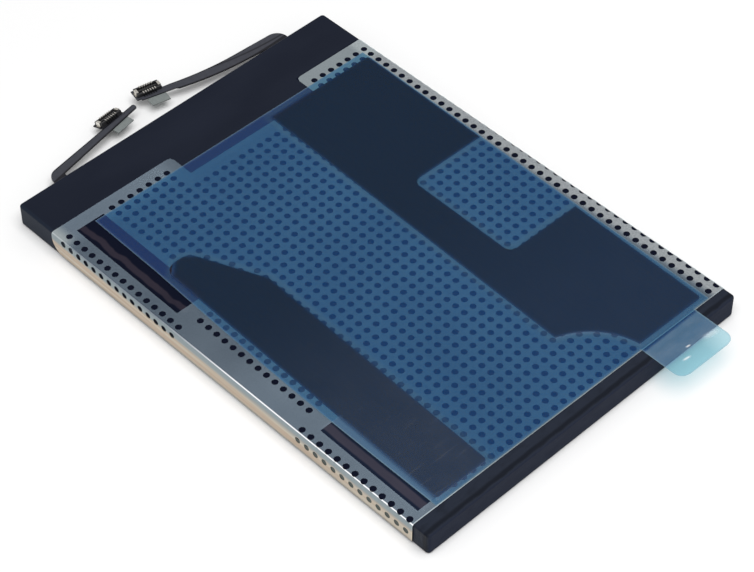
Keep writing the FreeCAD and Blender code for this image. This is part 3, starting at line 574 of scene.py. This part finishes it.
# Darker at the foot of the side: partly the pouch's own bottom edge, partly painted contact shade.
tan = mix_colour(1.0 - ramp(z, 0.4, 0.9), tan, FOOT_EDGE_SHADE)
side_haze = mix_colour(ramp(z + 0.8 * (reflected_streaks - 0.5), 2.2, 3.1), tan, WING_GREY)
haze = mix_colour(cloud, HAZE_THIN, HAZE_THICK)
haze = mix_colour(right_band, haze, HAZE_RIGHT)
haze = mix_colour(corner_highlight + 0.8 * right_tongue, haze, CORNER_HIGHLIGHT)
haze = mix_colour(film_edge_highlight, haze, EDGE_HIGHLIGHT)
haze = mix_colour(wing, haze, side_haze)
haze = mix_colour(glint, haze, FOLD_LIGHT)
face = plastic(point, haze, 0.3 + 0.15 * scuff, bumped(scuff, 0.00003), specular=0.6)
share = 0.17 + 0.08 * cloud + 0.12 * speckle + (0.02 + 0.24 * speckle) * right_band
share = share + 0.11 * left_tongue + 0.1 * corner_highlight + 0.13 * right_tongue + 0.1 * near_left
share = share * (1.0 - wing) * (1.0 - 0.75 * right_edge) + 0.74 * wing + 0.6 * glint
share = share + film_edge_highlight * (0.2 - 0.14 * ramp(x, -24.0, -8.0))
output(blend_shaders(share, clear_sheet(point, FILM_TINT), face))
film.data.materials.append(clear_film)


# Adhesive pads: black stretch-release glue, which sticks the battery into its phone.
# The two are die-cut from one tape and laid on the film, the right one with a bay and a rounded end.

GLUE_DARK, GLUE_PALE = (0.0095, 0.007, 0.011, 1), (0.014, 0.011, 0.017, 1)

glue, point, _ = new_material("stretch_glue")
streak = noise(point, 0.5, 4.0, (3.0, 0.25, 1.0))
glue_colour = mix_colour(streak, GLUE_DARK, GLUE_PALE)
output(plastic(point, glue_colour, 0.5 + 0.1 * streak, bumped(streak, 0.00005), specular=0.12))
for node in ("adhesive_pad_left", "adhesive_pad_right"):
    dress(node, glue)


# Release liner: blue polyester over the pads and the film, with a round-cornered tab to pull it off by.
# It clings to the pads and sags between them, so its edge round each pad catches the light.
# A painted highlight adds to that light round each pad.

LINER_TOP, LINER_LOW, SAG_START, SAG_RUN = 4.23, 4.10, -0.1, 0.7
LINER_COLUMNS, LINER_ROWS, TAB_ROWS = 240, 320, 36
LINER_HEAD, LINER_END = 32.95, -41.2
LINER_LEFT, LEFT_SLANT, LEFT_BOW, BOW_START = -25.7, 0.7, 0.5, 0.2
LINER_RIGHT, RIGHT_SLANT = 29.45, 0.3
TAB_LEFT, TAB_RIGHT, TAB_END, TAB_CORNER = 14.55, 26.0, -49.1, 1.7
PAD_HEAD, PAD_END = 31.6, -40.3
BAY_LEFT, BAY_LOW, BAY_HIGH, BAY_CORNER = 14.8, -14.75, 5.98, 1.3
LINER_DEEP, LINER_PALE = (0.013, 0.17, 0.6, 1), (0.021, 0.2, 0.69, 1)
OVER_BARE, PAD_EDGE_GLINT = (0.055, 0.165, 0.6, 1), (0.1, 0.24, 0.42, 1)
OVER_LOW_WINDOW, TAB_BASE_HIGHLIGHT = (0.16, 0.34, 0.58, 1), (0.18, 0.4, 0.68, 1)
TAB_BLUE, RIM_HIGHLIGHT, GLINT_WHITE = (0.06, 0.36, 0.54, 1), (0.2, 0.33, 0.42, 1), (1.0, 1.0, 1.0, 1)
LINER_TINT = (0.6, 0.83, 0.875, 1)


def pad_rings():
    """Outlines of the two glue pads on the askew grid."""
    rounded_end = arc((3.845, -42.16), 11.6, 70, 12, 12)
    bay = [
        (28.75, BAY_LOW), (BAY_LEFT + BAY_CORNER, BAY_LOW), (BAY_LEFT, BAY_LOW + BAY_CORNER),
        (BAY_LEFT, BAY_HIGH - BAY_CORNER), (BAY_LEFT + BAY_CORNER, BAY_HIGH), (29.1, BAY_HIGH),
    ]
    right = np.concatenate([
        [(8.6, PAD_HEAD), (7.35, -31.1)], rounded_end, [(15.3, PAD_END), (28.4, PAD_END)], bay,
        [(29.35, PAD_HEAD)],
    ])
    left = np.array([
        (-25.55, PAD_END), (-15.75, PAD_END), (-14.65, 6.0), (-19.4, 16.6), (-21.0, 18.1), (-22.6, 18.1),
        (-24.7, 16.0),
    ])
    return left, right


def ring_distance(points, ring):
    """Distance from points to a ring's edges, negative inside it."""
    a, b = ring, np.roll(ring, -1, axis=0)
    run = b - a
    t = ((points[:, None] - a) * run).sum(axis=2) / (run * run).sum(axis=1)
    foot = a + np.clip(t, 0, 1)[..., None] * run
    distance = np.linalg.norm(points[:, None] - foot, axis=2).min(axis=1)
    return np.where(inside(points, ring), -distance, distance)


def liner_left(t):
    """The liner's left edge from far end to near end: slanted, and bowed out a little past its middle."""
    bow_share = np.clip((t - BOW_START) / (1 - BOW_START), 0, 1)
    return LINER_LEFT - LEFT_SLANT * t - LEFT_BOW * np.sin(np.pi * bow_share)


def liner_right(t):
    """The liner's right edge from far end to near end: slanted."""
    return LINER_RIGHT - RIGHT_SLANT * t


def liner_grid():
    """The liner on the askew grid: slanted sides, then the tab's columns run on with round corners."""
    near_left, near_right = liner_left(1.0), liner_right(1.0)
    tab_u = (np.array([TAB_LEFT, TAB_RIGHT]) - near_left) / (near_right - near_left)
    across = np.unique(np.concatenate([np.linspace(0, 1, LINER_COLUMNS), tab_u]))
    sheet_rows = np.linspace(LINER_HEAD, LINER_END, LINER_ROWS)
    tab_rows = np.linspace(LINER_END - 0.2, TAB_END, TAB_ROWS)
    down = np.concatenate([sheet_rows, tab_rows])
    u, v = np.meshgrid(across, down)
    t = np.clip((LINER_HEAD - v) / (LINER_HEAD - LINER_END), 0, 1)
    sheet_x = liner_left(t) + (liner_right(t) - liner_left(t)) * u
    round_run = np.maximum(TAB_END + TAB_CORNER - v, 0)
    inset = TAB_CORNER - np.sqrt(np.maximum(TAB_CORNER**2 - round_run**2, 0))
    tab_share = (u - tab_u[0]) / (tab_u[1] - tab_u[0])
    tab_x = TAB_LEFT + inset + (TAB_RIGHT - TAB_LEFT - 2 * inset) * tab_share
    on_sheet = v > LINER_END - 0.1
    in_tab = (tab_share >= -1e-9) & (tab_share <= 1 + 1e-9)
    flat = np.stack([np.where(on_sheet, sheet_x, tab_x), v], axis=-1).reshape(-1, 2)
    index = np.arange(u.size).reshape(u.shape)
    quads = np.stack([index[:-1, :-1], index[1:, :-1], index[1:, 1:], index[:-1, 1:]], axis=-1)
    keep = on_sheet[1:, 1:] | (in_tab[1:, :-1] & in_tab[1:, 1:])
    used, faces = np.unique(quads[keep], return_inverse=True)
    return flat[used], faces.reshape(-1, 4)


def liner_ring():
    """The liner's cut edge on the askew grid, with the tab's round corners."""
    t = np.linspace(0, 1, 25)
    left_edge = np.stack([liner_left(t), LINER_HEAD + (LINER_END - LINER_HEAD) * t], axis=1)
    corner_y = TAB_END + TAB_CORNER
    return np.concatenate([
        left_edge,
        [(TAB_LEFT, LINER_END)],
        arc((TAB_LEFT + TAB_CORNER, corner_y), TAB_CORNER, 180, 270, 8),
        arc((TAB_RIGHT - TAB_CORNER, corner_y), TAB_CORNER, 270, 360, 8),
        [(TAB_RIGHT, LINER_END), (liner_right(1.0), LINER_END), (liner_right(0.0), LINER_HEAD)],
    ])


askew, quads = liner_grid()
pad_gap = np.minimum(*[ring_distance(askew, ring) for ring in pad_rings()])
rim_gap = -ring_distance(askew, liner_ring())
cling = 1 - np.clip((pad_gap - SAG_START) / SAG_RUN, 0, 1)
cling = cling * cling * (3 - 2 * cling)
height = LINER_LOW + (LINER_TOP - LINER_LOW) * cling
liner = make_piece("release_liner_sheet", np.column_stack([lean(askew), height]), quads)
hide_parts("release_liner")
liner_marks = {
    "contact": np.clip(0.5 - pad_gap / 0.8, 0, 1),
    "pad_edge_glint": np.exp(-((pad_gap - 0.6) / 0.5) ** 2),
    "rim_highlight": np.clip(1.3 - rim_gap / 0.22, 0, 1),
}
for name, values in liner_marks.items():
    liner.data.attributes.new(name, "FLOAT", "POINT").data.foreach_set("value", values)

blue, point, (x, y, _) = new_material("liner_look")
contact, pad_edge_glint, rim_highlight = [
    point.node("ShaderNodeAttribute", {"attribute_name": name}, out=2) for name in liner_marks
]
drift = noise(point, 0.05, 2.0)
fine = noise(point, 1.0, 3.0)
mottle = noise(point, 0.3, 3.0, (1.0, 0.6, 1.0))
glare = ramp(noise(point, 0.25, 2.0, (1.0, -1.6, 0.0)), 0.3, 0.7)
grid_x, grid_y = film_x(x, y), film_y(x, y)
toward_tab = 1.0 - ramp(y, -38.0, 6.0)
free_tab = 1.0 - ramp(y, -46.5, -45.8)
tab_base_highlight = (1.0 - ramp(y, -42.3, -41.7)) * ramp(y, -46.5, -45.8)
over_window = within(grid_x, WINDOW_LEFT, WINDOW_RIGHT, 0.05) * within(grid_y, 10.1, 33.3, 0.05)
over_notch = within(grid_x, -8.5, 17.5, 0.05) * ramp(grid_y, 30.85, 30.95)
over_low_window = within(grid_x, -27.5, -24.2, 0.05) * within(grid_y, -40.1, -20.6, 0.05) * (1.0 - contact)
slant = y + 0.12 * x
# Painted white highlights on three creases in the tab.
long_glint = near(x, 17.5, 0.2, 0.9) * near(slant, -44.9, 0.04, 0.3)
short_glint = near(x, 19.4, 0.1, 0.5) * near(slant, -43.27, 0.03, 0.2)
broad_glint = near(x, 23.6, 0.5, 1.6) * near(slant, -43.57, 0.1, 0.7)
crease_glints = long_glint + short_glint + 0.6 * broad_glint
body = mix_colour(drift, LINER_DEEP, LINER_PALE)
body = mix_colour(over_window + over_notch, body, OVER_BARE)
# Painted highlight where the liner lifts off round each pad.
body = mix_colour(0.6 * pad_edge_glint, body, PAD_EDGE_GLINT)
body = mix_colour(over_low_window, body, OVER_LOW_WINDOW)
body = mix_colour(free_tab, body, TAB_BLUE)
# Painted highlight on the tab's base, where it lies over the pouch's end.
body = mix_colour(tab_base_highlight, body, TAB_BASE_HIGHLIGHT)
# Painted highlight along the liner's cut edge.
body = mix_colour(rim_highlight, body, RIM_HIGHLIGHT)
body = mix_colour(crease_glints, body, GLINT_WHITE)
face = plastic(point, body, 0.3 + 0.1 * fine, bumped(drift + 0.1 * fine, 0.00006))
share = 0.155 - 0.12 * contact + 0.02 * toward_tab * contact + 0.05 * pad_edge_glint + 0.25 * rim_highlight
share = share + 0.14 * tab_base_highlight + 0.35 * crease_glints + 0.14 * over_low_window
sheet = blend_shaders(share, clear_sheet(point, LINER_TINT), face)
gloss = point.node("ShaderNodeBsdfGlossy", None, {"Color": (1, 1, 1, 1), "Roughness": 0.25})
scratch = ramp(noise(point, 0.9, 2.0, (0.2, 2.0, 1.0)), 0.6, 0.75)
scratch = scratch * toward_tab * (1.0 - ramp(x, -16.0, -12.0))
pad_shine = toward_tab * contact * (0.009 + 0.021 * (1.0 - ramp(x, -16.0, 0.0))) * (0.5 + mottle)
shine = 0.009 + pad_shine + 0.025 * scratch + 0.06 * tab_base_highlight * glare
output(blend_shaders(shine, sheet, gloss))
liner.data.materials.append(blue)


# Studio floor: a broad sheet of matt white card, a hair below the battery.
# It runs past the frame on every side and takes the battery's shadow. From here sizes are in metres.

FLOOR_REACH, FLOOR_DROP = 3.0, -2e-5
FLOOR_DIM, FLOOR_WHITE = (0.93, 0.93, 0.93, 1), (0.95, 0.95, 0.95, 1)

mesh = bpy.data.meshes.new("studio_floor")
sides = ((-1, -1), (1, -1), (1, 1), (-1, 1))
mesh.from_pydata([(a * FLOOR_REACH, b * FLOOR_REACH, FLOOR_DROP) for a, b in sides], [], [(0, 1, 2, 3)])
floor = bpy.data.objects.new("studio_floor", mesh)
bpy.context.scene.collection.objects.link(floor)
white, point, _ = new_material("floor_white")
output(plastic(point, mix_colour(noise(point, 0.002), FLOOR_DIM, FLOOR_WHITE), 0.8, specular=0.1))
floor.data.materials.append(white)


# Studio light: one broad soft lamp above the battery and a little ahead of it.
# An even white surround fills the shadows, at half the strength of white.

LAMP_SIDE, LAMP_POWER, LAMP_TILT = 0.9, 8.0, math.radians(-18)
LAMP_PLACE = (-0.1, -0.3, 0.9)
SURROUND_STRENGTH = 0.5

lamp = bpy.data.lights.new("overhead", "AREA")
lamp.shape = "RECTANGLE"
lamp.size, lamp.size_y = LAMP_SIDE, LAMP_SIDE
lamp.energy = LAMP_POWER
overhead = bpy.data.objects.new("overhead", lamp)
overhead.matrix_world = Matrix.Translation(LAMP_PLACE) @ Matrix.Rotation(LAMP_TILT, 4, "X")
bpy.context.scene.collection.objects.link(overhead)

world = bpy.data.worlds.new("surround")
world.use_nodes = True
surround = world.node_tree.nodes["Background"].inputs
surround["Color"].default_value = (1.0, 1.0, 1.0, 1)
surround["Strength"].default_value = SURROUND_STRENGTH
bpy.context.scene.world = world


# Camera: a long lens above the battery's near left side, at the photograph's viewing angle.
# Its place and directions were fitted to the film's hole grid and the pouch's edges.

EYE_PLACE = (-0.17669, -0.18601, 0.27032)
TO_RIGHT, TO_BACK = Vector((0.7186, -0.6954, -0.0049)), Vector((-0.4727, -0.4936, 0.7300))

camera = bpy.data.cameras.new("photo_view")
camera.sensor_width = 36.0
camera.lens = 118.78
camera.clip_start, camera.clip_end = 0.01, 20.0
back = TO_BACK.normalized()
up = back.cross(TO_RIGHT.normalized()).normalized()
turn = Matrix((up.cross(back), up, back)).transposed().to_4x4()
eye = bpy.data.objects.new("photo_view", camera)
eye.matrix_world = Matrix.Translation(EYE_PLACE) @ turn
bpy.context.scene.collection.objects.link(eye)
bpy.context.scene.camera = eye
bpy.context.scene.view_settings.view_transform = "Standard"
